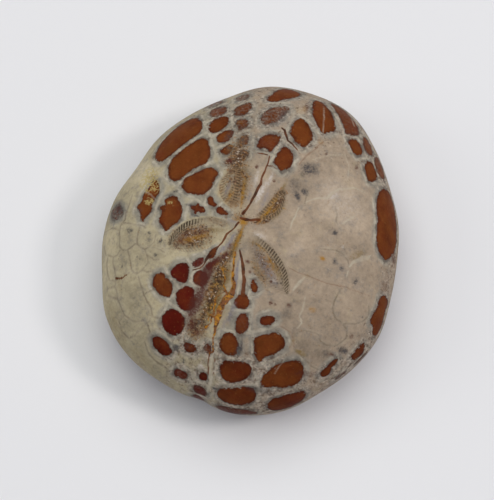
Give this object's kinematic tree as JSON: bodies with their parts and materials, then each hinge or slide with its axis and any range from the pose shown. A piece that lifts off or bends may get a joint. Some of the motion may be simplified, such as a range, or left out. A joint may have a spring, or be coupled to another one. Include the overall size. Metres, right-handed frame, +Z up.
{
  "type": "fossil sea urchin",
  "caption": "Domed irregular sea urchin turned to polished stone, with five petals on top and jasper-filled plates.",
  "frame": {"origin": "bottom centre of the bounding box, on the resting plane", "axes": "+Z up through the apex side, +Y along the long axis to the hind end, +X to the right seen from above with the hind end up"},
  "size_m": [0.039, 0.0442, 0.0175],
  "materials": {
    "stone": "satin-polished cream stone with red-brown jasper plate fillings"
  },
  "bodies": {
    "root": {"fossil_sea_urchin": "stone"}
  },
  "joints": []
}
